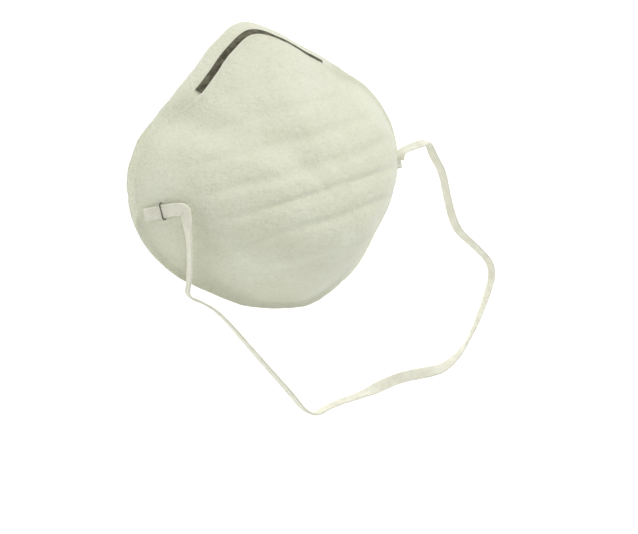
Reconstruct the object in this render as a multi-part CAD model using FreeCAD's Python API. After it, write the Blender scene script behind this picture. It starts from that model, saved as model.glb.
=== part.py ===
"""Disposable dust mask: a moulded nonwoven cup with a nose clip and a stapled elastic head band.

Frame: millimetres. The mask lies rim down on a level surface. Z is up, through the crown of the
cup. Y points from the chin to the nose. X runs across the face. The origin is on the surface,
below the middle of the cup.
"""
import FreeCAD, Part
import math
import os

from FreeCAD import Vector

# ---- Rim outline, seen from above ---------------------------------------------------------
CENTRE_Y = -16.7            # the cup's polar centre, below the crown
# Half of the outline: angle above the X axis in degrees, and distance from the polar centre.
RIM = [
    (-90, 45.8), (-70, 45.4), (-50, 47.9), (-30, 52.3), (-12, 61.2), (4, 69.1), (20, 73.0),
    (34, 72.2), (46, 69.2), (57, 68.7), (68, 70.3), (79, 75.0), (90, 79.3),
]
RIM_STEP = 5                # degrees between the points of the outline curve
RIM_ARC = 60                # degrees of the outline in one smooth edge
NOSE_RISE = 4.1             # the rim lifts at the nose
CHIN_RISE = 3.6             # and at the chin, so the mask rests on its cheeks

# ---- Cup ----------------------------------------------------------------------------------
CUP_DEPTH = 43.5
NOSE_FULLNESS = 1.95        # exponents of the wall's profile: a higher one is a squarer cup
CHEEK_FULLNESS = 2.6
CHIN_FULLNESS = 2.4
MARGIN = 2.4                # flat margin round the cheeks and chin
NOSE_FLANGE = 4.6           # extra width, seen from above, of the flange at the nose
NOSE_SKIRT = 6.3            # the nose flange slopes, and climbs this far from the rim
SKIRT_FADE = 2.2            # flange widths over which the climb fades into the dome
SKIRT_START = 45.0          # the flange begins to climb at this angle
SKIRT_SPREAD = 16.0         # and has its full climb this many degrees further on
FLANGE_START = 33.0         # the flange widens from this angle
FLANGE_FADE = 24.0          # over this many degrees
CORNER_BLEND = 1.6          # softness of the corner between the margin and the wall

# ---- Moulded ribs across the front ---------------------------------------------------------
GROOVE_PITCH = 11.8
GROOVE_FIRST_Y = -24.6
GROOVE_DEPTHS = [0.7, 0.9, 1.0, 0.9, 0.5, 0.35]
GROOVE_HALF_WIDTH = 2.8
GROOVE_REACH = 47.0         # grooves fade out this far to each side
GROOVE_FADE = 12.0

# ---- Webs: thickness in the cup, and where the rim is pressed -------------------------------
OUTER_WEB = (0.8, 0.45)
FILTER_WEB = (0.7, 0.25)
INNER_WEB = (0.6, 0.30)
PRESSED_WIDTH = 3.0
PRESSED_FADE = 6.0
RIM_THICKNESS = OUTER_WEB[1] + FILTER_WEB[1] + INNER_WEB[1]
REST_DEPTH = 0.35           # the inner web swells this far at the rim, and is cut flat there
REST_WIDTH = 2.0            # width of the flat underside

# ---- Height grid of each surface ------------------------------------------------------------
GRID_X = 80.0
GRID_Y = 70.0
GRID_CELLS_X = 64
GRID_CELLS_Y = 56
SLOPE_STEP = 0.5            # half the distance over which a slope is taken
PRISM_HEIGHT = 100.0        # cutting prisms reach well over the crown
SPACE_HEIGHT = 150.0        # and so does the space above a height surface

# ---- Nose clip --------------------------------------------------------------------------------
CLIP_WIDTH = 2.7            # seen from above: 3.6 across the sloping flange
CLIP_THICKNESS = 0.6
CLIP_INSET = 5.3            # from the rim to the clip's centreline, along the radius
CLIP_HALF_ANGLE = 30        # the clip spans this much either side of the nose
GLUE_WIDTH = 1.8
GLUE_THICKNESS = 0.25
GLUE_HALF_ANGLE = 27

# ---- Elastic head band ------------------------------------------------------------------------
BAND_WIDTH = 5.2
BAND_THICKNESS = 1.0
TAIL_LIFT = 0.1             # the stapled ends lie this close above the cup
# Route of the loop's centreline from the left fold to the right one. The band stands on its edge.
# The first and last points lie on the line that the loop swings about.
LOOP_ROUTE = [
    (-57, -7, 22), (-58, -19, 20), (-56.5, -30.5, 13.5), (-54.5, -40, 5.5), (-50, -47.5, 2.6),
    (-40, -57.5, 2.6), (-30, -77, 2.6), (-19.5, -96, 2.6), (-12, -111, 2.6), (0, -109, 2.6),
    (18, -110.5, 2.6), (43, -110.5, 2.6), (68, -114.5, 2.6), (84, -107.5, 2.6), (100.5, -91, 2.6),
    (111, -77, 2.6), (101, -63, 2.6), (92, -53, 2.6), (91, -38, 2.6), (89, -24, 6), (80, -11, 13),
    (67, -4, 19.5), (54, -8, 23.5),
]
# Each stapled end: side of the face, place along Y, distances of its tail and of its inner end
# from the middle, and height of its underside at the inner end.
BAND_ENDS = {"left": (-1, -4.5, 66.0, 58.2, 21.2), "right": (1, -12.5, 67.0, 57.0, 17.2)}
RISE_RUN = 3.0              # the end lifts off the cup over this distance towards the loop
END_STEPS = 12              # straight facets along a stapled end
ARC_SHARE = 0.45            # of the shorter run at a corner of the route that its arc takes

# ---- Staples ------------------------------------------------------------------------------------
STAPLE_X = 61.0
STAPLE_CROWN = 7.2
STAPLE_WIRE = 0.55
STAPLE_LEG = 4.4
STAPLE_CLINCH = 2.8
STAPLE_CLEARANCE = 0.05     # between the crown and the band
STAPLE_SINK = 0.3           # the flat band stands this far off the curved cup

os.makedirs("parts", exist_ok=True)


def clamp(value, low, high):
    return max(low, min(high, value))


def smooth(value):
    """Smooth step from 0 to 1."""
    t = clamp(value, 0.0, 1.0)
    return t * t * (3.0 - 2.0 * t)


def rim_slope(index):
    """Slope of the rim's radius at one of the outline's angles; flat on the mirror plane."""
    if index in (0, len(RIM) - 1):
        return 0.0
    (a0, r0), (a1, r1) = RIM[index - 1], RIM[index + 1]
    return (r1 - r0) / (a1 - a0)


def rim_radius(degrees):
    """Distance from the polar centre to the rim, by a smooth cubic through the outline."""
    index = 0
    while index < len(RIM) - 2 and degrees > RIM[index + 1][0]:
        index += 1
    (a0, r0), (a1, r1) = RIM[index], RIM[index + 1]
    span = a1 - a0
    t = (degrees - a0) / span
    pull0 = rim_slope(index) * span
    pull1 = rim_slope(index + 1) * span
    return ((2 * t**3 - 3 * t**2 + 1) * r0 + (t**3 - 2 * t**2 + t) * pull0
            + (3 * t**2 - 2 * t**3) * r1 + (t**3 - t**2) * pull1)


def fold_angle(degrees):
    """The angle in the right half of the outline that mirrors the given one."""
    turn = math.radians(degrees)
    return math.degrees(math.atan2(math.sin(turn), abs(math.cos(turn))))


def rim_point(degrees, inset=0.0):
    """Point of the outline seen from above, moved towards the polar centre by the inset."""
    radius = rim_radius(fold_angle(degrees)) - inset
    turn = math.radians(degrees)
    return Vector(radius * math.cos(turn), CENTRE_Y + radius * math.sin(turn), 0)


def nose_share(degrees):
    return smooth((degrees - 35.0) / 28.0)


def chin_share(degrees):
    return smooth((-degrees - 15.0) / 55.0)


def groove_depth(x, y):
    """Depth of the moulded grooves at a point, measured along Z."""
    fade = 1.0 - smooth((abs(x) - GROOVE_REACH + GROOVE_FADE) / GROOVE_FADE)
    depth = 0.0
    for index, deepest in enumerate(GROOVE_DEPTHS):
        offset = y - GROOVE_FIRST_Y - index * GROOVE_PITCH
        depth += deepest * math.exp(-(offset / GROOVE_HALF_WIDTH) ** 2)
    return depth * fade


def rim_distance(x, y):
    """Angle of a point in the right half, the rim's radius there and the way out to the rim."""
    degrees = math.degrees(math.atan2(y - CENTRE_Y, abs(x)))
    radius = rim_radius(degrees)
    return degrees, radius, radius - math.hypot(x, y - CENTRE_Y)


def soft_corner(inward):
    """Zero on the margin and the distance itself on the wall, with a soft corner between."""
    return 0.5 * (inward + math.hypot(inward, CORNER_BLEND))


def skirt_climb(distance):
    """Share of the flange's climb: steepest at the rim, level at its inner edge, then fading."""
    way = distance / (MARGIN + NOSE_FLANGE)
    if way < 0.0:
        return 1.5 * way
    if way < 1.0:
        return 0.5 * way * (3.0 - way * way)
    return math.exp(-((way - 1.0) / SKIRT_FADE) ** 2)


def cup_height(x, y):
    """Height of the mask's outer face."""
    degrees, radius, distance = rim_distance(x, y)
    nose = nose_share(degrees)
    chin = chin_share(degrees)
    fullness = NOSE_FULLNESS * nose + CHIN_FULLNESS * chin + CHEEK_FULLNESS * (1 - nose - chin)
    flange = smooth((degrees - FLANGE_START) / FLANGE_FADE)
    margin = MARGIN + NOSE_FLANGE * flange
    climbing = smooth((degrees - SKIRT_START) / SKIRT_SPREAD)
    skirt = NOSE_SKIRT * climbing * skirt_climb(distance)
    rise = NOSE_RISE * nose + CHIN_RISE * chin
    lifted_off = soft_corner(distance - margin) - soft_corner(-margin)
    t = min(lifted_off / (radius - margin), 1.0)
    share = 1.0 - (1.0 - t) ** fullness
    wall = rise * (1.0 - share) + CUP_DEPTH * share - groove_depth(x, y) * share
    return RIM_THICKNESS + skirt + wall


def web_thickness(web, distance):
    """Thickness of a web across its faces: full in the cup and pressed thin at the rim."""
    full, pressed = web
    return pressed + (full - pressed) * smooth((distance - PRESSED_WIDTH) / PRESSED_FADE)


def steepness(x, y):
    """Length along Z that one millimetre across the wall takes."""
    step = SLOPE_STEP
    slope_x = (cup_height(x + step, y) - cup_height(x - step, y)) / (2 * step)
    slope_y = (cup_height(x, y + step) - cup_height(x, y - step)) / (2 * step)
    return math.sqrt(1.0 + slope_x**2 + slope_y**2)


def grid_points():
    for row in range(GRID_CELLS_Y + 1):
        y = -GRID_Y + 2 * GRID_Y * row / GRID_CELLS_Y
        yield [(-GRID_X + 2 * GRID_X * column / GRID_CELLS_X, y) for column in range(GRID_CELLS_X + 1)]


def space_above(heights):
    """Solid of everything above a height surface, up to well over the crown."""
    surface = Part.BSplineSurface()
    surface.interpolate([[Vector(x, y, z) for x, y, z in row] for row in heights])
    return surface.toShape().extrude(Vector(0, 0, SPACE_HEIGHT))


def stacked_surfaces():
    """Height surfaces of the outer face, the two faces between webs and the inner face."""
    surfaces = [[], [], [], []]
    for line in grid_points():
        rows = [[], [], [], []]
        for x, y in line:
            height = cup_height(x, y)
            factor = steepness(x, y)
            distance = rim_distance(x, y)[2]
            rows[0].append((x, y, height))
            for level, web in enumerate((OUTER_WEB, FILTER_WEB, INNER_WEB)):
                height -= web_thickness(web, distance) * factor
                rows[level + 1].append((x, y, height))
            rows[3][-1] = (x, y, height - REST_DEPTH * (1.0 - smooth(distance / REST_WIDTH - 1.0)))
        for surface, row in zip(surfaces, rows):
            surface.append(row)
    return surfaces


def lifted(surface, lift):
    """A height surface moved up by the lift."""
    return [[(x, y, z + lift) for x, y, z in row] for row in surface]


def outline_edge(first, last):
    """Part of the rim's outline between two angles, as one smooth edge."""
    step = math.radians(0.1)
    points = [rim_point(turn) for turn in range(first, last + 1, RIM_STEP)]
    start_pull = (rim_point(first + 0.1) - rim_point(first - 0.1)) / (2 * step)
    end_pull = (rim_point(last + 0.1) - rim_point(last - 0.1)) / (2 * step)
    curve = Part.BSplineCurve()
    curve.interpolate(Points=points, InitialTangent=start_pull, FinalTangent=end_pull)
    return curve.toShape()


def outline_prism():
    """Tall solid with the mask's outline."""
    edges = [outline_edge(first, first + RIM_ARC) for first in range(-90, 270, RIM_ARC)]
    return Part.Face(Part.Wire(edges)).extrude(Vector(0, 0, PRISM_HEIGHT))


def ribbon_prism(centre, half_width):
    """Tall solid with the plan of a ribbon of even width along a centreline."""
    left = []
    right = []
    for index, point in enumerate(centre):
        before = centre[max(index - 1, 0)]
        after = centre[min(index + 1, len(centre) - 1)]
        along = (after - before).normalize()
        across = Vector(-along.y, along.x, 0) * half_width
        left.append(point + across)
        right.append(point - across)
    sides = []
    for side in (left, right):
        curve = Part.BSplineCurve()
        curve.interpolate(side)
        sides.append(curve.toShape())
    start = Part.makeLine(left[0], right[0])
    end = Part.makeLine(left[-1], right[-1])
    wire = Part.Wire(Part.__sortEdges__([sides[0], end, sides[1], start]))
    return Part.Face(wire).extrude(Vector(0, 0, PRISM_HEIGHT))


def nose_centreline(half_angle):
    step = 3
    count = 2 * half_angle // step
    start = 90 - half_angle
    return [rim_point(start + 2 * half_angle * i / count, CLIP_INSET) for i in range(count + 1)]


def staple_frame(side, end_y):
    """Placement on the outer face under a staple: X runs up the wall, Y along the crown."""
    x = side * STAPLE_X
    inward = -side * SLOPE_STEP
    climb = cup_height(x + inward, end_y) - cup_height(x - inward, end_y)
    up_wall = Vector(2 * inward, 0, climb).normalize()
    along = Vector(0, -side, 0)
    normal = up_wall.cross(along)
    origin = Vector(x, end_y, cup_height(x, end_y))
    matrix = FreeCAD.Matrix(up_wall.x, along.x, normal.x, origin.x,
                            up_wall.y, along.y, normal.y, origin.y,
                            up_wall.z, along.z, normal.z, origin.z,
                            0, 0, 0, 1)
    return FreeCAD.Placement(matrix)


def staple(side, end_y):
    """Wire staple: crown over the band, two legs through the wall, tips folded in behind it."""
    half = STAPLE_CROWN / 2
    wire = STAPLE_WIRE
    top = TAIL_LIFT + BAND_THICKNESS + STAPLE_CLEARANCE + STAPLE_SINK + wire
    body = Part.makeBox(wire, STAPLE_CROWN, wire, Vector(-wire / 2, -half, top - wire))
    for end in (-1, 1):
        leg_y = end * (half - wire / 2) - wire / 2
        leg = Part.makeBox(wire, wire, STAPLE_LEG, Vector(-wire / 2, leg_y, top - STAPLE_LEG))
        tip_y = leg_y if end < 0 else leg_y + wire - STAPLE_CLINCH
        tip = Part.makeBox(wire, STAPLE_CLINCH, wire, Vector(-wire / 2, tip_y, top - STAPLE_LEG))
        body = body.fuse(leg).fuse(tip)
    body = body.removeSplitter()
    body.Placement = staple_frame(side, end_y)
    return body


def plain_solid(shape):
    """The one solid of a boolean's result."""
    assert len(shape.Solids) == 1, len(shape.Solids)
    return shape.Solids[0]


def save(shape, name):
    assert shape.isValid(), name
    box = shape.BoundBox
    print("%-16s volume %9.2f  x %7.2f %7.2f  y %7.2f %7.2f  z %6.2f %6.2f" % (
        name, shape.Volume, box.XMin, box.XMax, box.YMin, box.YMax, box.ZMin, box.ZMax))
    shape.exportStep("parts/%s.step" % name)


def build_webs(surfaces, staples):
    """The three thermoformed webs, one inside the other, pierced by the staples."""
    outline = outline_prism()
    spaces = [space_above(surface) for surface in surfaces]
    webs = {}
    for name, above, below in (("outer_web", 0, 1), ("filter_web", 1, 2), ("inner_web", 2, 3)):
        web = outline.common(spaces[below]).cut(spaces[above])
        for wire in staples:
            web = web.cut(wire)
        webs[name] = plain_solid(web)
    return webs


def build_nose_clip(outer_surface):
    """The bendable metal strip on the nose flange, and the bead of glue under it."""
    glue_top = lifted(outer_surface, GLUE_THICKNESS)
    clip_top = lifted(outer_surface, GLUE_THICKNESS + CLIP_THICKNESS)
    glue_plan = ribbon_prism(nose_centreline(GLUE_HALF_ANGLE), GLUE_WIDTH / 2)
    clip_plan = ribbon_prism(nose_centreline(CLIP_HALF_ANGLE), CLIP_WIDTH / 2)
    glue_roof = space_above(glue_top)
    glue = glue_plan.common(space_above(outer_surface)).cut(glue_roof)
    clip = clip_plan.common(glue_roof).cut(space_above(clip_top))
    return plain_solid(glue), plain_solid(clip)


def cup_under_band(x, end_y):
    """Highest point of the cup under the width of a band end."""
    half = BAND_WIDTH / 2
    return max(cup_height(x, end_y + share * half) for share in (-1.0, -0.5, 0.0, 0.5, 1.0))


def build_band_end(side, end_y, tail_x, inner_x, inner_z):
    """A stapled end of the band: flat on the cup, then lifting off it towards the loop."""
    under = []
    over = []
    for index in range(END_STEPS + 1):
        x = tail_x + (inner_x - tail_x) * index / END_STEPS
        cup = cup_under_band(side * x, end_y) + TAIL_LIFT
        lift = (1.0 - smooth((x - inner_x) / RISE_RUN)) * max(0.0, inner_z - cup)
        under.append((x, cup + lift))
    for index, (x, z) in enumerate(under):
        before = under[max(index - 1, 0)]
        after = under[min(index + 1, END_STEPS)]
        run = math.hypot(after[0] - before[0], after[1] - before[1])
        over.append((x, z + BAND_THICKNESS * run / abs(after[0] - before[0])))
    profile = [Vector(side * x, end_y - BAND_WIDTH / 2, z) for x, z in under + over[::-1]]
    face = Part.Face(Part.makePolygon(profile + [profile[0]]))
    return plain_solid(face.extrude(Vector(0, BAND_WIDTH, 0)))


def rounded_path(points):
    """Straight runs joined by tangent arcs, each arc as large as its two runs allow."""
    edges = []
    radii = []
    start = points[0]
    for before, corner, after in zip(points, points[1:], points[2:]):
        inward = (before - corner).normalize()
        outward = (after - corner).normalize()
        reach = ARC_SHARE * min((before - corner).Length, (after - corner).Length)
        half_turn = (math.pi - inward.getAngle(outward)) / 2
        radius = reach / math.tan(half_turn)
        radii.append(radius)
        begin = corner + inward * reach
        finish = corner + outward * reach
        middle_way = (inward + outward).normalize()
        middle = corner + middle_way * (radius / math.cos(half_turn) - radius)
        edges.append(Part.LineSegment(start, begin).toShape())
        edges.append(Part.Arc(begin, middle, finish).toShape())
        start = finish
    edges.append(Part.LineSegment(start, points[-1]).toShape())
    return Part.Wire(edges), radii


def build_loop():
    """The free loop of the head band: a flat strip standing on its edge along the route."""
    path, radii = rounded_path([Vector(*point) for point in LOOP_ROUTE])
    start = Vector(*LOOP_ROUTE[0])
    heading = Vector(*LOOP_ROUTE[1]) - start
    up = Vector(0, 0, BAND_WIDTH / 2)
    across = Vector(heading.y, -heading.x, 0).normalize() * (BAND_THICKNESS / 2)
    corners = [start + up + across, start + up - across, start - up - across, start - up + across]
    sweep = Part.BRepOffsetAPI.MakePipeShell(path)
    sweep.setBiNormalMode(Vector(0, 0, 1))
    sweep.add(Part.makePolygon(corners + [corners[0]]))
    sweep.build()
    sweep.makeSolid()
    loop = plain_solid(sweep.shape())
    expected = BAND_WIDTH * BAND_THICKNESS * path.Length
    print("loop length %.1f  volume %.1f of %.1f" % (path.Length, loop.Volume, expected))
    print("loop radii", " ".join("%.1f" % radius for radius in radii))
    return loop


def main():
    surfaces = stacked_surfaces()
    staples = {name: staple(*place[:2]) for name, place in BAND_ENDS.items()}
    for name, web in build_webs(surfaces, staples.values()).items():
        save(web, name)
    glue, clip = build_nose_clip(surfaces[0])
    save(glue, "nose_clip_glue")
    save(clip, "nose_clip")
    for name, place in BAND_ENDS.items():
        save(staples[name], "staple_" + name)
        end = build_band_end(*place).cut(staples[name])
        save(plain_solid(end), "band_end_" + name)
    save(build_loop(), "head_band")


main()
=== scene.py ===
"""Disposable dust mask: the visible webs, nose clip, staples and elastic band around the CAD frame.

Shapes are worked out in millimetres and turned into metres when their meshes are made.
"""
import math

import bpy
import numpy as np
from mathutils import Matrix, Vector, noise


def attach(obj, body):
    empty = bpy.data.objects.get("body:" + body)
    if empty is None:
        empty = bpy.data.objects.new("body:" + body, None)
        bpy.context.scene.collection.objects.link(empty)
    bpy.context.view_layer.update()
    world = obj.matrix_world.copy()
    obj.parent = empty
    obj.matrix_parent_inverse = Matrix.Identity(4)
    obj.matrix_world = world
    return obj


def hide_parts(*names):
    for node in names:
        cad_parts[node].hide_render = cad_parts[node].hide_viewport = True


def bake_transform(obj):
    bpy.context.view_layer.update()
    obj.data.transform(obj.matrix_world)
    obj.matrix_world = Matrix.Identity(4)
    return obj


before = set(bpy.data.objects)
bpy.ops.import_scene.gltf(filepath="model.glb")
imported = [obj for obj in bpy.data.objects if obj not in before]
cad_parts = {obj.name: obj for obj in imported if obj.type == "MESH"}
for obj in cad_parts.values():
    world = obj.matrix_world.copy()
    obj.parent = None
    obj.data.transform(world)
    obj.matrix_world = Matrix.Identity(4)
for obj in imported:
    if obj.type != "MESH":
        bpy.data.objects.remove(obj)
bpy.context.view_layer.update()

MM = 0.001

# ---- Camera -------------------------------------------------------------------------------
CAMERA_YAW = 33.22          # degrees, towards -X
CAMERA_PITCH = 8.53         # towards the nose
CAMERA_ROLL = 13.59
CAMERA_TARGET = (11.96, -48.64, 1.0)
CAMERA_DISTANCE = 558.9
LENS = 70.96

# ---- Elastic band ---------------------------------------------------------------------------
BAND_WIDTH = 5.2
BAND_THICKNESS = 1.0
BAND_RIDGES = 5
# Control points of the band's spline, from the left tail over the left fold, along the loop and
# back over the right fold to the right tail; and how far the band leans from standing on its
# edge, in degrees. The middle points are the loop's own route.
LEFT_END = [
    ((-66.2, -4.5, 4.9), -90), ((-64.0, -4.5, 8.6), -90), ((-61.4, -4.5, 12.6), -90),
    ((-59.4, -4.5, 17.2), -88), ((-57.6, -5.0, 21.6), -60),
]
LOOP = [
    ((-57, -7, 22), -25), ((-57.6, -18, 20), 10), ((-56.2, -28.5, 12.6), 17),
    ((-55.2, -36.5, 5.6), 17), ((-56.0, -42.0, 2.6), 15), ((-49.5, -46.5, 2.6), 12),
    ((-42.6, -53.5, 2.6), 12), ((-30, -77, 2.6), 4), ((-19.5, -96, 2.6), 0),
    ((-12, -111, 2.6), 5), ((0, -109, 2.6), 10), ((18, -110.5, 2.5), 20), ((31, -110.2, 1.4), 75),
    ((43, -110.5, 0.9), 86), ((57, -113.2, 1.2), 76), ((68, -114.5, 2.2), 30),
    ((84, -107.5, 2.6), -25), ((100.5, -91, 2.6), -8), ((111, -77, 2.6), 0), ((101, -63, 2.6), 10),
    ((92, -53, 2.6), 14), ((91, -38, 2.6), 6), ((89, -24, 6), 5), ((82, -15.5, 10.5), 5),
    ((76, -7.4, 16.2), -12), ((73, -7.2, 17.8), -36), ((65, -7.2, 19.8), -32), ((54, -7.6, 23.2), -24),
]
RIGHT_END = [
    ((51.6, -10.9, 23.0), -40), ((54.6, -12.5, 19.6), -78), ((58.2, -12.5, 15.6), -90),
    ((61.4, -12.5, 11.4), -90), ((64.4, -12.5, 7.2), -90), ((67.2, -12.5, 3.2), -90),
]
STATIONS_PER_SPAN = 20      # stations of the ribbon between two control points
LEFT_SEAM_Y = -18.5         # the loop's own mesh starts here, well past the left fold
RIGHT_SEAM_X = 67.5         # and ends here, before the right fold
LEFT_SEAM_NEAR_X = -50.0    # the left seam is sought outside this line
RIGHT_SEAM_NEAR_Y = -20.0   # and the right one on the nose side of this line
RIGHT_SEAM_NEAR_Z = 15.0    # and above this height
BAND_OVER_CUP = 0.1         # least height of the band over the cup's margin
BAND_SINK = 0.3             # further in it may press this deep into the felt
BAND_SINK_START = 3.0
BAND_OVER_FLOOR = 0.05

# ---- Cup, as in the CAD part ------------------------------------------------------------------
CENTRE_Y = -16.7
RIM = [
    (-90, 45.8), (-70, 45.4), (-50, 47.9), (-30, 52.3), (-12, 61.2), (4, 69.1), (20, 73.0),
    (34, 72.2), (46, 69.2), (57, 68.7), (68, 70.3), (79, 75.0), (90, 79.3),
]
NOSE_RISE = 4.1
CHIN_RISE = 3.6
CUP_DEPTH = 43.5
NOSE_START = 35.0           # angle at which the outline's nose begins, and its spread
NOSE_SPREAD = 28.0
CHIN_START = 15.0           # and the same for the chin, below the centre
CHIN_SPREAD = 55.0
NOSE_FULLNESS = 1.95
CHEEK_FULLNESS = 2.6
CHIN_FULLNESS = 2.4
MARGIN = 2.4
NOSE_FLANGE = 4.6
NOSE_SKIRT = 6.3
SKIRT_FADE = 2.2
SKIRT_START = 45.0
SKIRT_SPREAD = 16.0
FLANGE_START = 33.0
FLANGE_FADE = 24.0
CORNER_BLEND = 1.6
GROOVE_PITCH = 11.8
GROOVE_FIRST_Y = -24.6
GROOVE_DEPTHS = [0.7, 0.9, 1.0, 0.9, 0.5, 0.35]
GROOVE_HALF_WIDTH = 2.8
GROOVE_REACH = 47.0
GROOVE_FADE = 12.0
WEBS = [(0.8, 0.45), (0.7, 0.25), (0.6, 0.30)]
PRESSED_WIDTH = 3.0
PRESSED_FADE = 6.0
RIM_THICKNESS = 1.0
REST_DEPTH = 0.35
REST_WIDTH = 2.0

# ---- Relief that only the visible webs have ------------------------------------------------------
LIP_START = 47.0            # angle at which the lip begins, and its spread
LIP_SPREAD = 12.0
LIP_HEIGHT = 2.2            # step of the dome's wall at the inner edge of the nose flange
LIP_RUN = 0.7
LIP_FADE = 6.5
LIP_BEAD = 0.22
LIP_BEAD_WIDTH = 0.35
LIP_COVER = 0.95            # the step stands this far out over the flange and the clip's edge
RIB_SHARPEN = 0.90          # the grooves are crisper than in the plain cup, by this share
RIB_CRISP_WIDTH = 1.9
RIB_REACH = 56.0            # they run on, fainter, this far to each side
RIB_FADE = 20.0
LEDGE_Y = -36.5             # below this line the chin's panel is set back
LEDGE_DEPTH = 1.1
LEDGE_RUN = 3.4
LEDGE_CLIMB = 30.0          # the line is this much higher at the cheeks
LEDGE_LEVEL_HALF = 28.0     # it is level this far to each side
LEDGE_SPREAD = 34.0
LEDGE_INSET = 12.0          # the step fades in over this distance from the rim
RELIEF_START = 1.0          # the small relief fades in from this distance from the rim
RELIEF_SPREAD = 6.0
PRESS_LINE_INSET = 2.7      # line that the press leaves round the rim
PRESS_LINE_DEPTH = 0.16
PRESS_LINE_WIDTH = 0.4
PRESS_LINE_END = 40.0       # it fades out towards the nose flange
PRESS_LINE_SPREAD = 15.0
PULL_DEPTH = 0.35           # the cup is drawn in round each staple
PULL_HALF = (2.4, 4.6)
# Random relief: height, size of its features and seed.
WAVES = [(0.30, 24.0, 3.1), (0.14, 11.0, 8.4)]
FUZZ = [(0.075, 3.0, 5.7), (0.05, 1.5, 2.2)]
RIM_FUZZ = 0.35             # share of the fuzz that is left at the rim
RIB_WANDER = (0.9, 22.0, 12.6)
RIB_UNEVENNESS = (0.35, 15.0, 17.2)
EDGE_WANDER = [(0.10, 1.6, 1.5), (0.05, 0.5, 4.5)]
EDGE_CIRCLE = 12.0          # the cut edge's wander is read round a circle of this radius
EDGE_FADE = 2.0             # and dies away over this distance in from the rim
EDGE_BULGE = 0.06           # the cut edge stands out this far between its two faces
INNER_FUZZ = (0.05, 3.0, 6.1)
# Small dents and creases: place, half length and half width, direction in degrees, depth.
DENTS = [
    (-52, 10, 5.0, 1.2, 70, 0.35), (8, -32, 4.0, 0.8, 20, 0.30), (-22, -40, 5.0, 0.9, -25, 0.35),
    (22, -6, 3.5, 1.0, 60, 0.25), (-12, 14, 6.0, 1.6, 15, 0.25), (38, 18, 4.5, 1.2, -50, 0.30),
    (30, -38, 4.0, 0.9, 35, 0.30), (-36, -16, 6.0, 1.4, 80, 0.25), (60, -8, 3.5, 1.1, 80, 0.30),
]
# Nicks in the cut edge: angle in degrees, half width in degrees, depth inwards.
NICKS = [(163, 1.2, 0.5), (131, 2.0, -0.25), (-64, 1.4, 0.45), (21, 1.6, 0.4), (48, 1.3, -0.3)]

# ---- Meshes of the webs ------------------------------------------------------------------------------
RIM_RINGS = [0.0, 0.12, 0.3, 0.6]
CLOSE_ZONE = 13.0           # rings are close together up to this distance from the rim
# CAD node, level of the upper face, points round, spacing near the rim, rings further in.
WEB_MESHES = [
    ("outer_web", 0, 480, 0.25, 66), ("filter_web", 1, 200, 1.0, 24), ("inner_web", 2, 320, 0.6, 44),
]

# ---- Clip, glue and staples ----------------------------------------------------------------------
CLIP_WIDTH = 2.7            # seen from above
CLIP_THICKNESS = 0.6
CLIP_INSET = 5.3
CLIP_HALF_ANGLE = 30.0
GLUE_THICKNESS = 0.25
STAPLES = {"left": (-1, -4.5), "right": (1, -12.5)}
STAPLE_X = 61.0
STAPLE_CROWN = 7.2
STAPLE_WIRE = 0.55
STAPLE_LEG = 4.4
STAPLE_CLINCH = 2.8
TAIL_LIFT = 0.1
STAPLE_SINK = 0.3
STAPLE_CLEARANCE = 0.05
STAPLE_CORNER = 0.5         # radius of its bends
WIRE_SIDES = 14
CHANNEL_DEPTH = 0.14        # shallow channel along the middle of the clip
CHANNEL_WIDTH = 0.45
CLIP_ROLL = 0.12            # its rolled edges stand this far off the glue
# Small bends along the clip: height and turns round the outline.
KINKS = [(0.05, 31.0), (0.04, 57.0)]
SLOPE_STEP = 0.5

# ---- Nonwovens ------------------------------------------------------------------------------------
# From the outer web inwards: name, light, shade and tint, depth of the fibres in metres, sheen.
FELTS = [
    ("outer_nonwoven", (0.755, 0.775, 0.625), (0.70, 0.71, 0.56), (0.765, 0.765, 0.635), 0.00022, 0.35),
    ("filter_nonwoven", (0.82, 0.83, 0.81), (0.76, 0.77, 0.75), (0.84, 0.84, 0.83), 0.00012, 0.2),
    ("inner_nonwoven", (0.77, 0.77, 0.69), (0.70, 0.70, 0.61), (0.79, 0.78, 0.71), 0.00015, 0.25),
]

# ---- Stage ----------------------------------------------------------------------------------------
FLOOR_HALF = 6.0            # metres
FLOOR_DROP = 0.0003
FLOOR_GLOW = 0.60
SKY_STRENGTH = 0.45
# Lamps: name, direction from the origin, distance and size in metres, power in watts.
LAMPS = [("key", (0.38, 0.64, 0.78), 1.3, 0.28, 8.7), ("fill", (-0.25, -0.6, 0.85), 1.5, 1.2, 5.8)]


# ---- Camera and helpers ------------------------------------------------------------------------
def make_camera():
    """Camera at the viewing angle: turned about Y, tipped to the nose, then rolled."""
    yaw, pitch, roll = (math.radians(v) for v in (CAMERA_YAW, CAMERA_PITCH, CAMERA_ROLL))
    level_reach = math.cos(pitch)
    toward = Vector((-math.sin(yaw) * level_reach, math.sin(pitch), math.cos(yaw) * level_reach))
    level = Vector((0, 1, 0)).cross(toward).normalized()
    upright = toward.cross(level)
    right = math.cos(roll) * level - math.sin(roll) * upright
    up = math.sin(roll) * level + math.cos(roll) * upright
    place = (Vector(CAMERA_TARGET) + CAMERA_DISTANCE * toward) * MM
    turn = Matrix((right, up, toward)).transposed()
    data = bpy.data.cameras.new("camera")
    data.lens = LENS
    data.sensor_width = 36.0
    data.clip_start = 0.01
    camera = bpy.data.objects.new("camera", data)
    camera.matrix_world = Matrix.Translation(place) @ turn.to_4x4()
    bpy.context.collection.objects.link(camera)
    bpy.context.scene.camera = camera


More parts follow.
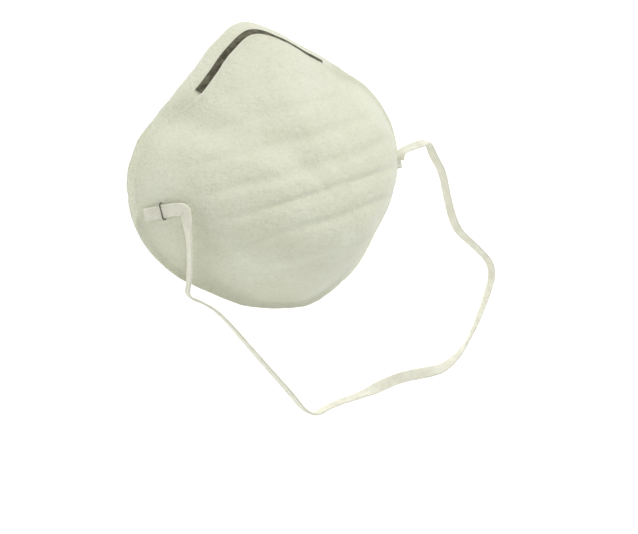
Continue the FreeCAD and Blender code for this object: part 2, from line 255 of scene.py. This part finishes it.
def make_piece(name, points, faces, material, uv=None):
    """Smooth-shaded mesh object from points in millimetres."""
    mesh = bpy.data.meshes.new(name)
    mesh.from_pydata((np.asarray(points) * MM).tolist(), [], faces)
    mesh.polygons.foreach_set("use_smooth", [True] * len(mesh.polygons))
    if uv is not None:
        layer = mesh.uv_layers.new(name="along_across")
        corner_points = np.empty(len(mesh.loops), dtype=np.int64)
        mesh.loops.foreach_get("vertex_index", corner_points)
        layer.data.foreach_set("uv", np.asarray(uv)[corner_points].ravel())
    mesh.materials.append(material)
    mesh.validate()
    piece = bpy.data.objects.new(name, mesh)
    bpy.context.collection.objects.link(piece)
    return piece


def smooth(value):
    t = np.clip(value, 0.0, 1.0)
    return t * t * (3.0 - 2.0 * t)


def random_field(x, y, size, seed):
    """Smooth random value near -1 to 1, with features of the given size in millimetres."""
    flat = [noise.noise(Vector((a / size, b / size, seed))) for a, b in zip(x.ravel(), y.ravel())]
    return np.array(flat).reshape(x.shape) * 2.0


def relief_field(x, y, layers):
    """Sum of random fields, each given by its height, size and seed."""
    total = np.zeros(np.shape(x))
    for height, size, seed in layers:
        total = total + height * random_field(x, y, size, seed)
    return total


def tube_faces(rows, count, inside_out=False):
    """Faces of a closed tube: rows of points, count to a row, with a cap at each end."""
    faces = []
    for row in range(rows - 1):
        first = row * count
        for step in range(count):
            after = (step + 1) % count
            corners = (after, step, count + step, count + after)
            if not inside_out:
                corners = (step, after, count + after, count + step)
            faces.append(tuple(first + corner for corner in corners))
    start = tuple(range(count))
    finish = tuple(range((rows - 1) * count, rows * count))
    faces.append(start if inside_out else start[::-1])
    faces.append(finish[::-1] if inside_out else finish)
    return faces


# ---- The cup's own shape ------------------------------------------------------------------------
def rim_radius(degrees):
    """Distance from the polar centre to the rim, by a smooth cubic through the outline."""
    angles = np.array([a for a, r in RIM], float)
    radii = np.array([r for a, r in RIM], float)
    slopes = np.zeros(len(RIM))
    slopes[1:-1] = (radii[2:] - radii[:-2]) / (angles[2:] - angles[:-2])
    index = np.clip(np.searchsorted(angles, degrees) - 1, 0, len(RIM) - 2)
    span = angles[index + 1] - angles[index]
    t = (degrees - angles[index]) / span
    return ((2 * t**3 - 3 * t**2 + 1) * radii[index] + (t**3 - 2 * t**2 + t) * slopes[index] * span
            + (3 * t**2 - 2 * t**3) * radii[index + 1] + (t**3 - t**2) * slopes[index + 1] * span)


def polar(x, y):
    """Angle in the right half of the outline, the rim's radius there and the way out to the rim."""
    degrees = np.degrees(np.arctan2(y - CENTRE_Y, np.abs(x)))
    radius = rim_radius(degrees)
    return degrees, radius, radius - np.hypot(x, y - CENTRE_Y)


def margin_width(degrees):
    return MARGIN + NOSE_FLANGE * smooth((degrees - FLANGE_START) / FLANGE_FADE)


def skirt_climb(distance):
    """Share of the nose flange's climb: steepest at the rim, level at its inner edge, then fading."""
    way = distance / (MARGIN + NOSE_FLANGE)
    rising = 0.5 * way * (3.0 - np.maximum(way, 0.0) ** 2)
    return np.where(way < 1.0, rising, np.exp(-((way - 1.0) / SKIRT_FADE) ** 2))


def cup_height(x, y):
    """Height of the cup's outer face, without the small relief."""
    x = np.asarray(x, float)
    y = np.asarray(y, float)
    degrees, radius, distance = polar(x, y)
    nose = smooth((degrees - NOSE_START) / NOSE_SPREAD)
    chin = smooth((-degrees - CHIN_START) / CHIN_SPREAD)
    fullness = NOSE_FULLNESS * nose + CHIN_FULLNESS * chin + CHEEK_FULLNESS * (1 - nose - chin)
    margin = margin_width(degrees)
    rise = NOSE_RISE * nose + CHIN_RISE * chin
    inward = distance - margin
    lifted = (0.5 * (inward + np.hypot(inward, CORNER_BLEND))
              - 0.5 * (np.hypot(margin, CORNER_BLEND) - margin))
    t = np.minimum(lifted / (radius - margin), 1.0)
    share = 1.0 - (1.0 - t) ** fullness
    groove = np.zeros_like(share)
    for index, deepest in enumerate(GROOVE_DEPTHS):
        offset = y - GROOVE_FIRST_Y - index * GROOVE_PITCH
        groove += deepest * np.exp(-(offset / GROOVE_HALF_WIDTH) ** 2)
    groove *= 1.0 - smooth((np.abs(x) - GROOVE_REACH + GROOVE_FADE) / GROOVE_FADE)
    skirt = NOSE_SKIRT * smooth((degrees - SKIRT_START) / SKIRT_SPREAD) * skirt_climb(distance)
    return RIM_THICKNESS + skirt + rise * (1 - share) + CUP_DEPTH * share - groove * share


def steepness(x, y):
    """Length along Z that one millimetre across the wall takes."""
    slope_x = (cup_height(x + SLOPE_STEP, y) - cup_height(x - SLOPE_STEP, y)) / (2 * SLOPE_STEP)
    slope_y = (cup_height(x, y + SLOPE_STEP) - cup_height(x, y - SLOPE_STEP)) / (2 * SLOPE_STEP)
    return np.sqrt(1.0 + slope_x**2 + slope_y**2)


def lip_relief(degrees, distance):
    """Step and bead of the dome's wall where it rises from the nose flange."""
    share = smooth((degrees - LIP_START) / LIP_SPREAD)
    past = distance - margin_width(degrees) + LIP_COVER
    step = LIP_HEIGHT * smooth(past / LIP_RUN) * np.exp(-(np.maximum(past - LIP_RUN, 0) / LIP_FADE) ** 1.4)
    bead = LIP_BEAD * np.exp(-((past - LIP_RUN) / LIP_BEAD_WIDTH) ** 2)
    return share * (step + bead)


def dent_relief(x, y):
    depth = np.zeros_like(x)
    for dent_x, dent_y, half_length, half_width, direction, deepest in DENTS:
        turn = math.radians(direction)
        along = (x - dent_x) * math.cos(turn) + (y - dent_y) * math.sin(turn)
        across = (y - dent_y) * math.cos(turn) - (x - dent_x) * math.sin(turn)
        depth += deepest * np.exp(-(along / half_length) ** 2 - (across / half_width) ** 2)
    return depth


def staple_pull(x, y):
    """The cup is drawn in a little round each staple."""
    depth = np.zeros_like(x)
    half_x, half_y = PULL_HALF
    for side, end_y in STAPLES.values():
        depth += PULL_DEPTH * np.exp(-((x - side * STAPLE_X) / half_x) ** 2 - ((y - end_y) / half_y) ** 2)
    return depth


def rib_relief(x, y):
    """Extra depth of the moulded grooves, which wander a little and are uneven along their length."""
    depth = np.zeros_like(x)
    wander = relief_field(x, y, [RIB_WANDER])
    strength = 1.0 + relief_field(x, y, [RIB_UNEVENNESS])
    for index, deepest in enumerate(GROOVE_DEPTHS):
        offset = y - GROOVE_FIRST_Y - index * GROOVE_PITCH + wander
        depth += RIB_SHARPEN * deepest * np.exp(-(offset / RIB_CRISP_WIDTH) ** 2)
    return depth * strength * (1.0 - smooth((np.abs(x) - RIB_REACH + RIB_FADE) / RIB_FADE))


def ledge_relief(x, y, distance):
    """The chin's panel is set back below the ribs, along a line that climbs to the cheeks."""
    edge = LEDGE_Y + LEDGE_CLIMB * smooth((np.abs(x) - LEDGE_LEVEL_HALF) / LEDGE_SPREAD)
    return LEDGE_DEPTH * smooth((edge - y) / LEDGE_RUN) * smooth(distance / LEDGE_INSET)


def inside_rim(distance):
    """Share of the small relief, which starts a little way in from the rim."""
    return smooth((distance - RELIEF_START) / RELIEF_SPREAD)


def form_relief(x, y):
    """Relief that all three webs share: lip, soft waves, dents, ribs, ledge and staple pull."""
    degrees, radius, distance = polar(x, y)
    waves = relief_field(x, y, WAVES)
    return (lip_relief(degrees, distance) + (waves - dent_relief(x, y)) * inside_rim(distance)
            - rib_relief(x, y) - ledge_relief(x, y, distance) - staple_pull(x, y))


def outer_relief(x, y):
    """Fuzz and press line of the outer face alone."""
    degrees, radius, distance = polar(x, y)
    fuzz = relief_field(x, y, FUZZ) * (RIM_FUZZ + (1.0 - RIM_FUZZ) * inside_rim(distance))
    line = PRESS_LINE_DEPTH * np.exp(-((distance - PRESS_LINE_INSET) / PRESS_LINE_WIDTH) ** 2)
    return fuzz - line * (1.0 - smooth((degrees - PRESS_LINE_END) / PRESS_LINE_SPREAD))


# ---- Webs -----------------------------------------------------------------------------------------
def ring_insets(radius, close, wide):
    """Distances in from the rim, close together in the outer zone and even from there inwards."""
    near = np.concatenate([RIM_RINGS, np.arange(1.0, CLOSE_ZONE, close)])
    far = np.linspace(0.0, 1.0, wide + 1)[1:-1]
    rings = [np.full_like(radius, inset) for inset in near]
    rings += [CLOSE_ZONE + (radius - CLOSE_ZONE) * share for share in far]
    return np.array(rings)


def cut_edge(turns):
    """How far the cut rim stands in or out at each angle."""
    edge = relief_field(EDGE_CIRCLE * np.cos(turns), EDGE_CIRCLE * np.sin(turns), EDGE_WANDER)
    for angle, half, depth in NICKS:
        off = (np.degrees(turns) - angle + 180.0) % 360.0 - 180.0
        edge += depth * np.exp(-(off / half) ** 2)
    return edge


def web_grid(count, close, wide):
    """Plan of a web's points, in rings from the rim inwards."""
    turns = np.linspace(0.0, 2 * math.pi, count, endpoint=False)
    folded = np.degrees(np.arctan2(np.sin(turns), np.abs(np.cos(turns))))
    radius = rim_radius(folded)
    insets = ring_insets(radius, close, wide)
    fade = np.exp(-insets / EDGE_FADE)
    reach = radius - insets - cut_edge(turns) * fade
    return reach * np.cos(turns), CENTRE_Y + reach * np.sin(turns)


def web_level(x, y, level):
    """Height of the faces between webs: 0 is the outer face and 3 the inner one."""
    distance = polar(x, y)[2]
    factor = steepness(x, y)
    height = cup_height(x, y) + form_relief(x, y)
    for full, pressed in WEBS[:level]:
        thickness = pressed + (full - pressed) * smooth((distance - PRESSED_WIDTH) / PRESSED_FADE)
        height = height - thickness * factor
    if level == len(WEBS):
        height = height - REST_DEPTH * (1.0 - smooth(distance / REST_WIDTH - 1.0))
        height = np.maximum(height, 0.0)
    return height


def inner_relief(x, y):
    """Fuzz that stands off the inner face, towards the wearer."""
    depth, size, seed = INNER_FUZZ
    return -depth * inside_rim(polar(x, y)[2]) * (1.0 + random_field(x, y, size, seed))


def web_piece(name, level, count, close, wide, material):
    """One web as a closed mesh between two of the cup's faces, with a rounded cut edge."""
    x, y = web_grid(count, close, wide)
    top = web_level(x, y, level)
    bottom = web_level(x, y, level + 1)
    centre_x = np.zeros(1)
    centre_y = np.full(1, CENTRE_Y)
    centre_top = web_level(centre_x, centre_y, level)
    centre_bottom = web_level(centre_x, centre_y, level + 1)
    if level == 0:
        top = top + outer_relief(x, y)
        centre_top = centre_top + outer_relief(centre_x, centre_y)
    if level == len(WEBS) - 1:
        bottom = np.maximum(bottom + inner_relief(x, y), 0.0)
    rings = x.shape[0]
    out_x = EDGE_BULGE * (x[0] / np.hypot(x[0], y[0] - CENTRE_Y))
    out_y = EDGE_BULGE * ((y[0] - CENTRE_Y) / np.hypot(x[0], y[0] - CENTRE_Y))
    middle = np.stack([x[0] + out_x, y[0] + out_y, (top[0] + bottom[0]) / 2], -1)
    top_points = np.stack([x, y, top], -1).reshape(-1, 3)
    bottom_points = np.stack([x, y, bottom], -1).reshape(-1, 3)
    centre = [[0.0, CENTRE_Y, centre_top[0]], [0.0, CENTRE_Y, centre_bottom[0]]]
    points = np.concatenate([top_points, bottom_points, middle, centre])
    low = rings * count
    mid = 2 * low
    crown = mid + count
    faces = []
    for ring in range(rings - 1):
        for step in range(count):
            after = (step + 1) % count
            outer, outer_next = ring * count + step, ring * count + after
            inner, inner_next = outer + count, outer_next + count
            faces.append((outer, outer_next, inner_next, inner))
            faces.append((low + inner, low + inner_next, low + outer_next, low + outer))
    last = (rings - 1) * count
    for step in range(count):
        after = (step + 1) % count
        faces.append((last + step, last + after, crown))
        faces.append((low + last + after, low + last + step, crown + 1))
        faces.append((step, mid + step, mid + after, after))
        faces.append((mid + step, low + step, low + after, mid + after))
    piece = make_piece(name, points, faces, material)
    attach(piece, "cup")
    return piece


# ---- Materials ----------------------------------------------------------------------------------
def new_material(name, roughness, sheen=0.0, metallic=0.0):
    """Principled material with its constants on its own sockets."""
    material = bpy.data.materials.new(name)
    material.use_nodes = True
    nodes = material.node_tree.nodes
    shader = nodes["Principled BSDF"]
    shader.inputs["Roughness"].default_value = roughness
    shader.inputs["Metallic"].default_value = metallic
    shader.inputs["Sheen Weight"].default_value = sheen
    shader.inputs["Sheen Roughness"].default_value = 0.6
    shader.inputs["Specular IOR Level"].default_value = 0.25
    return material, nodes, material.node_tree.links, shader


def noise_node(nodes, links, place, scale, detail=3.0, roughness=0.6, stretch=(1, 1, 1)):
    """Noise over the object's own metres, optionally drawn out along an axis."""
    mapping = nodes.new("ShaderNodeMapping")
    mapping.inputs["Scale"].default_value = stretch
    links.new(place, mapping.inputs["Vector"])
    texture = nodes.new("ShaderNodeTexNoise")
    texture.inputs["Scale"].default_value = scale
    texture.inputs["Detail"].default_value = detail
    texture.inputs["Roughness"].default_value = roughness
    links.new(mapping.outputs["Vector"], texture.inputs["Vector"])
    return texture.outputs["Fac"]


def ramp_node(nodes, links, value, stops):
    ramp = nodes.new("ShaderNodeValToRGB")
    elements = ramp.color_ramp.elements
    while len(elements) < len(stops):
        elements.new(0.5)
    for element, (position, colour) in zip(elements, stops):
        element.position = position
        element.color = (*colour, 1.0)
    links.new(value, ramp.inputs["Fac"])
    return ramp.outputs["Color"]


def mix_node(nodes, links, kind, share, first, second):
    mix = nodes.new("ShaderNodeMix")
    mix.data_type = "RGBA"
    mix.blend_type = kind
    mix.inputs["Factor"].default_value = share
    links.new(first, mix.inputs["A"])
    links.new(second, mix.inputs["B"])
    return mix.outputs["Result"]


def bump_node(nodes, links, heights):
    """Chain of bumps, each a height value with its strength and depth in metres."""
    normal = None
    for value, strength, depth in heights:
        bump = nodes.new("ShaderNodeBump")
        bump.inputs["Strength"].default_value = strength
        bump.inputs["Distance"].default_value = depth
        links.new(value, bump.inputs["Height"])
        if normal is not None:
            links.new(normal, bump.inputs["Normal"])
        normal = bump.outputs["Normal"]
    return normal


def nonwoven(name, light, shade, tint, fibre_depth, sheen):
    """Needled nonwoven: blotches of a few millimetres, soft fuzz and fibres lying every way."""
    material, nodes, links, shader = new_material(name, 0.92, sheen=sheen)
    place = nodes.new("ShaderNodeTexCoord").outputs["Object"]
    blotch = noise_node(nodes, links, place, 620.0, 4.0, 0.7)
    drift = noise_node(nodes, links, place, 42.0, 2.0)
    fibre_x = noise_node(nodes, links, place, 1500.0, 4.0, 0.7, (0.16, 1.0, 0.6))
    fibre_y = noise_node(nodes, links, place, 1500.0, 4.0, 0.7, (1.0, 0.16, 0.6))
    fuzz = noise_node(nodes, links, place, 1100.0, 5.0, 0.75)
    base = ramp_node(nodes, links, blotch, [(0.30, shade), (0.50, light), (0.72, tint)])
    wash = ramp_node(nodes, links, drift, [(0.34, (0.95, 0.94, 0.90)), (0.62, (1.0, 1.0, 1.0))])
    threads = ramp_node(nodes, links, fibre_x, [(0.34, (0.91, 0.91, 0.90)), (0.58, (1.0, 1.0, 1.0))])
    colour = mix_node(nodes, links, "MULTIPLY", 1.0, base, wash)
    colour = mix_node(nodes, links, "MULTIPLY", 0.7, colour, threads)
    links.new(colour, shader.inputs["Base Color"])
    heights = [(blotch, 0.6, 4 * fibre_depth), (fibre_x, 0.45, fibre_depth),
               (fibre_y, 0.45, fibre_depth), (fuzz, 0.65, 1.4 * fibre_depth)]
    links.new(bump_node(nodes, links, heights), shader.inputs["Normal"])
    return material


def elastic():
    """Braided elastic: a fine herringbone along the band over its lengthwise ridges."""
    material, nodes, links, shader = new_material("elastic", 0.78, sheen=0.15)
    texture = nodes.new("ShaderNodeTexCoord")
    waves = []
    for turn in (0.62, -0.62):
        mapping = nodes.new("ShaderNodeMapping")
        mapping.inputs["Rotation"].default_value = (0, 0, turn)
        links.new(texture.outputs["UV"], mapping.inputs["Vector"])
        wave = nodes.new("ShaderNodeTexWave")
        wave.inputs["Scale"].default_value = 0.42
        wave.inputs["Distortion"].default_value = 0.6
        wave.inputs["Detail"].default_value = 1.0
        links.new(mapping.outputs["Vector"], wave.inputs["Vector"])
        waves.append(wave.outputs["Fac"])
    soft = noise_node(nodes, links, texture.outputs["Object"], 260.0, 3.0)
    thread = noise_node(nodes, links, texture.outputs["Object"], 1800.0, 3.0)
    base = ramp_node(nodes, links, soft, [(0.30, (0.73, 0.72, 0.60)), (0.62, (0.83, 0.83, 0.71))])
    braid = ramp_node(nodes, links, waves[0], [(0.15, (0.86, 0.85, 0.82)), (0.6, (1.0, 1.0, 1.0))])
    colour = mix_node(nodes, links, "MULTIPLY", 0.8, base, braid)
    links.new(colour, shader.inputs["Base Color"])
    heights = [(waves[0], 0.5, 0.00010), (waves[1], 0.5, 0.00010), (thread, 0.4, 0.00005)]
    links.new(bump_node(nodes, links, heights), shader.inputs["Normal"])
    return material


def worn_metal(name, dark, bright, metallic, roughness, stretch):
    """Drawn or plain metal with rubbed patches and fine lines; the clip's very dark colours are painted
    shade and painted reflection.
    """
    material, nodes, links, shader = new_material(name, roughness, metallic=metallic)
    shader.inputs["Specular IOR Level"].default_value = 0.4
    place = nodes.new("ShaderNodeTexCoord").outputs["Object"]
    rub = noise_node(nodes, links, place, 380.0, 4.0)
    lines = noise_node(nodes, links, place, 1600.0, 3.0, 0.6, stretch)
    colour = ramp_node(nodes, links, rub, [(0.36, dark), (0.68, bright)])
    links.new(colour, shader.inputs["Base Color"])
    shine = nodes.new("ShaderNodeMapRange")
    shine.inputs["To Min"].default_value = roughness - 0.1
    shine.inputs["To Max"].default_value = roughness + 0.15
    links.new(lines, shine.inputs["Value"])
    links.new(shine.outputs["Result"], shader.inputs["Roughness"])
    heights = [(rub, 0.25, 0.0001), (lines, 0.3, 0.00004)]
    links.new(bump_node(nodes, links, heights), shader.inputs["Normal"])
    return material


def hot_melt():
    material, nodes, links, shader = new_material("hot_melt", 0.42)
    place = nodes.new("ShaderNodeTexCoord").outputs["Object"]
    cloud = noise_node(nodes, links, place, 320.0, 3.0)
    colour = ramp_node(nodes, links, cloud, [(0.35, (0.66, 0.60, 0.42)), (0.65, (0.80, 0.76, 0.60))])
    links.new(colour, shader.inputs["Base Color"])
    links.new(bump_node(nodes, links, [(cloud, 0.4, 0.0002)]), shader.inputs["Normal"])
    return material


# ---- Band ----------------------------------------------------------------------------------------
def band_spline():
    """Stations along the band's one spline, and the lean at each, from the control points."""
    control = LEFT_END + LOOP + RIGHT_END
    curve = bpy.data.curves.new("band_route", "CURVE")
    curve.dimensions = "3D"
    curve.resolution_u = STATIONS_PER_SPAN
    spline = curve.splines.new("NURBS")
    spline.points.add(len(control) - 1)
    for point, (place, lean) in zip(spline.points, control):
        point.co = (place[0] * MM, place[1] * MM, place[2] * MM, 1.0)
    spline.order_u = 3
    spline.use_endpoint_u = True
    holder = bpy.data.objects.new("band_route", curve)
    line = bpy.data.meshes.new_from_object(holder)
    stations = np.array([tuple(vertex.co) for vertex in line.vertices]) / MM
    bpy.data.objects.remove(holder)
    bpy.data.curves.remove(curve)
    bpy.data.meshes.remove(line)
    spans = len(control) - 2
    knots = np.concatenate([[0.0], np.arange(spans) + 0.5, [spans]])
    at = np.linspace(0.0, spans, len(stations))
    leans = np.interp(at, knots, [lean for place, lean in control])
    return stations, np.radians(leans)


def band_section():
    """Half of the band's width and height round its section: ridged faces and round edges."""
    across = np.linspace(-1.0, 1.0, 2 * BAND_RIDGES * 2 + 1)
    swell = 0.5 + 0.5 * np.cos(across * BAND_RIDGES * math.pi + math.pi * (BAND_RIDGES - 1))
    edge = np.sqrt(np.clip(1.0 - np.abs(across) ** 12, 0.0, 1.0))
    half = BAND_THICKNESS / 2 * (0.80 + 0.20 * swell) * edge
    upper = [(a * BAND_WIDTH / 2, h) for a, h in zip(across, half)]
    lower = [(a * BAND_WIDTH / 2, -h) for a, h in zip(across[1:-1], half[1:-1])]
    return np.array(upper + lower[::-1])


def ribbon(stations, leans):
    """Points of the band's section at each station, and how far along and across they are."""
    along = np.gradient(stations, axis=0)
    along /= np.linalg.norm(along, axis=1)[:, None]
    up = np.array([0.0, 0.0, 1.0]) - along[:, 2:3] * along
    up /= np.linalg.norm(up, axis=1)[:, None]
    side = np.cross(along, up)
    wide = np.cos(leans)[:, None] * up + np.sin(leans)[:, None] * side
    thick = np.cross(along, wide)
    section = band_section()
    travelled = np.concatenate([[0.0], np.cumsum(np.linalg.norm(np.diff(stations, axis=0), axis=1))])
    swell = 1.0 + 0.03 * np.sin(travelled * 0.9) + 0.02 * np.sin(travelled * 2.3 + 1.0)
    points = (stations[:, None, :] + section[None, :, 0:1] * wide[:, None, :]
              + section[None, :, 1:2] * thick[:, None, :] * swell[:, None, None])
    points[:, :, 2] = np.maximum(points[:, :, 2], clear_height(points))
    flat = np.stack(np.broadcast_arrays(travelled[:, None], section[None, :, 0]), -1)
    return points, flat


def clear_height(points):
    """Lowest place that a point of the band may have: just over the cup, or over the floor."""
    x = points[:, :, 0]
    y = points[:, :, 1]
    over_cup = polar(x, y)[2] > 0.0
    inside = cup_height(x, y) + BAND_OVER_CUP - BAND_SINK * (polar(x, y)[2] > BAND_SINK_START)
    return np.where(over_cup, inside, BAND_OVER_FLOOR)


def band_piece(name, points, flat, material):
    """Closed ribbon over a stretch of stations."""
    faces = tube_faces(points.shape[0], points.shape[1])
    return make_piece(name, points.reshape(-1, 3), faces, material, flat.reshape(-1, 2))


def make_band(material):
    """The band as a loop that swings and two stapled ends, split from it past the folds."""
    stations, leans = band_spline()
    points, flat = ribbon(stations, leans)
    middle = len(stations) // 2
    left = max(i for i in range(middle)
               if stations[i, 1] > LEFT_SEAM_Y and stations[i, 0] < LEFT_SEAM_NEAR_X) + 1
    right = min(i for i in range(middle, len(stations)) if stations[i, 0] < RIGHT_SEAM_X
                and stations[i, 1] > RIGHT_SEAM_NEAR_Y and stations[i, 2] > RIGHT_SEAM_NEAR_Z)
    loop = band_piece("loop_elastic", points[left:right + 1], flat[left:right + 1], material)
    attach(loop, "band")
    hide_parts("head_band")
    ends = {"left": (0, left), "right": (right, len(stations) - 1)}
    for name, (first, last) in ends.items():
        end = band_piece("stapled_end_" + name, points[first:last + 1], flat[first:last + 1], material)
        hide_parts("band_end_" + name)
        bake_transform(end)


# ---- Clip and staples ---------------------------------------------------------------------------
def make_clip(material):
    """Bendable strip on the nose flange, with rolled edges and a shallow middle channel."""
    turns = np.radians(np.linspace(90 - CLIP_HALF_ANGLE, 90 + CLIP_HALF_ANGLE, 121))
    folded = np.degrees(np.arctan2(np.sin(turns), np.abs(np.cos(turns))))
    across = np.linspace(-1.0, 1.0, 13)
    roll = np.sqrt(np.clip(1.0 - np.abs(across) ** 8, 0.0, 1.0))
    channel = CHANNEL_DEPTH * np.exp(-(across / CHANNEL_WIDTH) ** 2)
    upper = CLIP_THICKNESS * (0.5 + 0.5 * roll) - channel
    lower = CLIP_ROLL * (1 - roll)
    rows = []
    for index, turn in enumerate(turns):
        inset = CLIP_INSET + across * CLIP_WIDTH / 2
        reach = rim_radius(folded[index:index + 1]) - inset
        x = reach * math.cos(turn)
        y = CENTRE_Y + reach * math.sin(turn)
        kink = sum(height * math.sin(turn * turns_round) for height, turns_round in KINKS)
        base = cup_height(x, y) + GLUE_THICKNESS + kink
        rows.append([(a, b, h) for a, b, h in zip(x, y, base + upper)]
                    + [(a, b, h) for a, b, h in zip(x[::-1], y[::-1], base[::-1] + lower[::-1])])
    points = np.array(rows)
    faces = tube_faces(points.shape[0], points.shape[1], inside_out=True)
    clip = make_piece("nose_clip_strip", points.reshape(-1, 3), faces, material)
    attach(clip, "cup")
    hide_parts("nose_clip")


def staple_axes(side, end_y):
    """Directions up the wall, along the crown and out of the wall, and the place on the face."""
    inward = -side * SLOPE_STEP
    x = side * STAPLE_X
    climb = float(cup_height(x + inward, end_y) - cup_height(x - inward, end_y))
    up_wall = Vector((2 * inward, 0, climb)).normalized()
    along = Vector((0, -side, 0))
    return up_wall, along, up_wall.cross(along), Vector((x, end_y, float(cup_height(x, end_y))))


def make_staple(name, side, end_y, material):
    """Wire staple with round bends at its crown and its clinched tips."""
    up_wall, along, out, origin = staple_axes(side, end_y)
    half = STAPLE_CROWN / 2 - STAPLE_WIRE / 2
    top = TAIL_LIFT + BAND_THICKNESS + STAPLE_CLEARANCE + STAPLE_SINK + STAPLE_WIRE / 2
    foot = top - STAPLE_LEG + STAPLE_WIRE
    tip = half - STAPLE_CLINCH + STAPLE_WIRE
    corner = STAPLE_CORNER
    plan = [(-tip, foot - 0.1), (-half + corner, foot), (-half, foot + corner), (-half, top - corner)]
    plan += [(-half + corner * 0.3, top - corner * 0.3), (-half + corner, top)]
    plan += [(-v, h) for v, h in plan[::-1]]
    centre = [origin + along * v + out * h for v, h in plan]
    rows = []
    for index, point in enumerate(centre):
        ahead = centre[min(index + 1, len(centre) - 1)] - centre[max(index - 1, 0)]
        ahead.normalize()
        across = ahead.cross(up_wall).normalized()
        for step in range(WIRE_SIDES):
            turn = 2 * math.pi * step / WIRE_SIDES
            radial = math.cos(turn) * up_wall + math.sin(turn) * across
            rows.append(point + radial * STAPLE_WIRE / 2)
    faces = tube_faces(len(centre), WIRE_SIDES)
    wire = make_piece("staple_wire_" + name, [tuple(p) for p in rows], faces, material)
    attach(wire, "cup")
    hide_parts("staple_" + name)


# ---- Stage --------------------------------------------------------------------------------------
def make_stage():
    """Pale floor that reads as white, a soft key light, a soft fill and an even sky."""
    material, nodes, links, shader = new_material("floor", 0.95)
    place = nodes.new("ShaderNodeTexCoord").outputs["Object"]
    grain = noise_node(nodes, links, place, 20.0, 2.0)
    tone = ramp_node(nodes, links, grain, [(0.3, (0.90, 0.90, 0.90)), (0.7, (0.92, 0.92, 0.92))])
    links.new(tone, shader.inputs["Base Color"])
    shader.inputs["Emission Color"].default_value = (1.0, 1.0, 1.0, 1.0)
    shader.inputs["Emission Strength"].default_value = FLOOR_GLOW
    half = FLOOR_HALF
    corners = [(-half, -half, 0), (half, -half, 0), (half, half, 0), (-half, half, 0)]
    mesh = bpy.data.meshes.new("floor")
    mesh.from_pydata(corners, [], [(0, 1, 2, 3)])
    mesh.materials.append(material)
    floor = bpy.data.objects.new("floor", mesh)
    floor.location.z = -FLOOR_DROP
    bpy.context.collection.objects.link(floor)
    for name, toward, distance, size, power in LAMPS:
        data = bpy.data.lights.new(name, "AREA")
        data.size = size
        data.energy = power
        lamp = bpy.data.objects.new(name, data)
        direction = Vector(toward).normalized()
        lamp.location = direction * distance
        lamp.rotation_euler = direction.to_track_quat("Z", "Y").to_euler()
        bpy.context.collection.objects.link(lamp)
    world = bpy.data.worlds.new("sky")
    world.use_nodes = True
    background = world.node_tree.nodes["Background"]
    background.inputs["Color"].default_value = (1.0, 1.0, 1.0, 1.0)
    background.inputs["Strength"].default_value = SKY_STRENGTH
    bpy.context.scene.world = world
    bpy.context.scene.view_settings.view_transform = "Standard"


def make_all():
    make_camera()
    make_band(elastic())
    felts = [nonwoven(*felt) for felt in FELTS]
    for felt, (node, level, count, close, wide) in zip(felts, WEB_MESHES):
        piece = web_piece(node + "_felt", level, count, close, wide, felt)
        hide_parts(node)
    # The clip is bare aluminium: its very dark colours are painted shade from its recess and painted
    # reflection of dark surroundings.
    clip_metal = worn_metal("clip_metal", (0.045, 0.042, 0.022), (0.16, 0.15, 0.10), 0.35, 0.5, (1, 1, 1))
    make_clip(clip_metal)
    wire_metal = worn_metal("staple_wire", (0.10, 0.10, 0.085), (0.26, 0.26, 0.23), 0.8, 0.42, (1, 0.1, 1))
    for name, (side, end_y) in STAPLES.items():
        make_staple(name, side, end_y, wire_metal)
    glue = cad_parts["nose_clip_glue"]
    glue.data.materials.clear()
    glue.data.materials.append(hot_melt())
    make_stage()


make_all()
bpy.context.view_layer.update()
